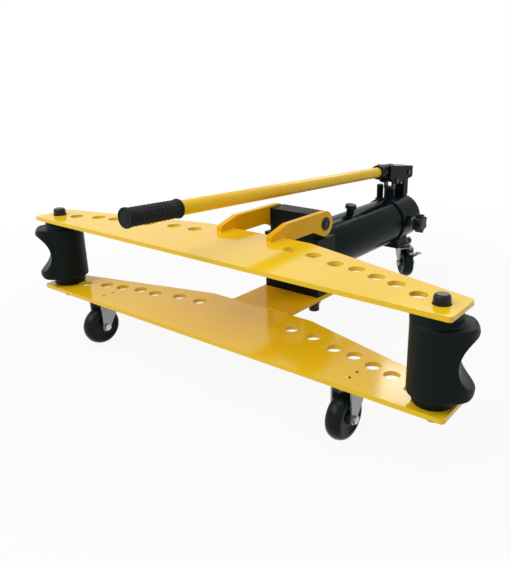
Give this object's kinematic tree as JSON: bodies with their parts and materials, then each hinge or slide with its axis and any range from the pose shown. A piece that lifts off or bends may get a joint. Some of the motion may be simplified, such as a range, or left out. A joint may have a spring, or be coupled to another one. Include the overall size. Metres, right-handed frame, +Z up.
{
  "type": "hydraulic pipe bender",
  "caption": "Hydraulic pipe bender on castors: drilled wing plates hold saddle rollers, and a hand pump with a long handle drives a horizontal ram between them.",
  "frame": {"origin": "on the floor under the middle of the machine's box, on the plane of symmetry of the wings", "axes": "+X along the wings to the release valve side, +Y to the pump and rear castor, +Z up"},
  "size_m": [0.9676, 0.9268, 0.3518],
  "materials": {
    "yellow_paint": "gloss",
    "black_casting": "satin black paint",
    "black_paint": "gloss",
    "black_plastic": "satin",
    "black_steel": "blackened",
    "bright_steel": "bright",
    "ground_steel": "ground and plated",
    "zinc_plate": "zinc plated",
    "seal_rubber": "matt",
    "grip_rubber": "moulded",
    "tyre_rubber": "matt"
  },
  "bodies": {
    "base": {"lower_wing_plate": "yellow_paint", "tongue_plate": "yellow_paint", "head_block": "black_casting", "head_block_bolts": "black_steel", "hinge_pin": "bright_steel", "hinge_pin_collars": "black_steel", "gland_nut": "bright_steel", "ram_wiper": "seal_rubber", "reservoir_tube": "black_paint", "pressure_cylinder": "bright_steel", "end_cap": "black_paint", "pump_barrel": "black_paint", "fulcrum_bracket": "black_paint", "fulcrum_pin": "bright_steel", "relief_valve": "black_paint", "release_valve_bushing": "bright_steel", "filler_neck": "black_paint", "filler_washer": "seal_rubber", "castor_bracket": "black_paint", "left_castor_fork": "zinc_plate", "right_castor_fork": "zinc_plate", "left_castor_axle": "bright_steel", "right_castor_axle": "bright_steel", "castor_screws": "black_steel", "rear_castor_plate": "zinc_plate", "rear_castor_bolts": "zinc_plate", "rear_castor_kingpin": "bright_steel", "return_spring": "bright_steel"},
    "upper_wing": {"upper_wing_plate": "yellow_paint", "left_hinge_arm": "yellow_paint", "right_hinge_arm": "yellow_paint"},
    "left_roller": {"left_roller": "black_casting", "left_roller_pin": "black_steel"},
    "right_roller": {"right_roller": "black_casting", "right_roller_pin": "black_steel"},
    "ram": {"ram": "ground_steel", "piston_seal": "seal_rubber"},
    "lever": {"pump_lever": "black_paint"},
    "handle": {"handle_tube": "yellow_paint", "handle_grip": "grip_rubber"},
    "plunger": {"pump_plunger": "bright_steel", "plunger_pin": "bright_steel"},
    "filler_plug": {"filler_plug": "black_plastic"},
    "release_knob": {"release_valve_knob": "black_plastic", "release_valve_spindle": "bright_steel"},
    "left_wheel": {"left_tyre": "tyre_rubber", "left_wheel_hub": "black_plastic"},
    "right_wheel": {"right_tyre": "tyre_rubber", "right_wheel_hub": "black_plastic"},
    "rear_fork": {"rear_castor_fork": "zinc_plate", "rear_castor_axle": "bright_steel"},
    "rear_wheel": {"rear_tyre": "tyre_rubber", "rear_wheel_hub": "black_plastic"},
    "brake": {"brake_lever": "zinc_plate"}
  },
  "joints": [
    {"name": "wing_lift", "type": "hinge", "parent": "base", "child": "upper_wing", "pos_m": [0, -0.03595, 0.248], "axis": [-1, 0, 0], "range_deg": [0, 12]},
    {"name": "left_roller_turn", "type": "hinge", "parent": "base", "child": "left_roller", "pos_m": [-0.43478, -0.29719, 0.169], "axis": [0, 0, 1], "continuous": true},
    {"name": "right_roller_turn", "type": "hinge", "parent": "base", "child": "right_roller", "pos_m": [0.43478, -0.29719, 0.169], "axis": [0, 0, 1], "continuous": true},
    {"name": "ram_stroke", "type": "slide", "parent": "base", "child": "ram", "axis": [0, -1, 0], "range_m": [0, 0.2], "stiffness_N_per_m": 1500, "springref_m": -0.06, "deforming": ["return_spring"]},
    {"name": "lever_stroke", "type": "hinge", "parent": "base", "child": "lever", "pos_m": [0, 0.41405, 0.2845], "axis": [-1, 0, 0], "range_deg": [0, 30]},
    {"name": "plunger_stroke", "type": "slide", "parent": "base", "child": "plunger", "axis": [0, 0, 1], "range_m": [0, 0.0343]},
    {"name": "handle_pull", "type": "slide", "parent": "lever", "child": "handle", "axis": [0, -0.9988, 0.0489], "range_m": [0, 0.06]},
    {"name": "filler_turn", "type": "hinge", "parent": "base", "child": "filler_plug", "pos_m": [0, 0.15005, 0.169], "axis": [0.1392, 0, 0.9903], "range_deg": [0, 360]},
    {"name": "release_turn", "type": "hinge", "parent": "base", "child": "release_knob", "pos_m": [0.066, 0.37905, 0.164], "axis": [1, 0, 0], "range_deg": [0, 360]},
    {"name": "left_wheel_roll", "type": "hinge", "parent": "base", "child": "left_wheel", "pos_m": [-0.299, -0.32295, 0.0385], "axis": [1, 0, 0], "continuous": true},
    {"name": "right_wheel_roll", "type": "hinge", "parent": "base", "child": "right_wheel", "pos_m": [0.299, -0.32295, 0.0385], "axis": [1, 0, 0], "continuous": true},
    {"name": "rear_swivel", "type": "hinge", "parent": "base", "child": "rear_fork", "pos_m": [0, 0.44005, 0.08], "axis": [0, 0, 1], "continuous": true},
    {"name": "rear_wheel_roll", "type": "hinge", "parent": "rear_fork", "child": "rear_wheel", "pos_m": [0.0198, 0.42025, 0.0385], "axis": [0.7071, 0.7071, 0], "continuous": true},
    {"name": "brake_press", "type": "hinge", "parent": "rear_fork", "child": "brake", "pos_m": [0.03712, 0.43192, 0.0585], "axis": [0.7071, 0.7071, 0], "range_deg": [0, 20]}
  ],
  "couplings": [
    {"joint": "plunger_stroke", "follows": "lever_stroke", "m_per_rad": 0.0655}
  ]
}
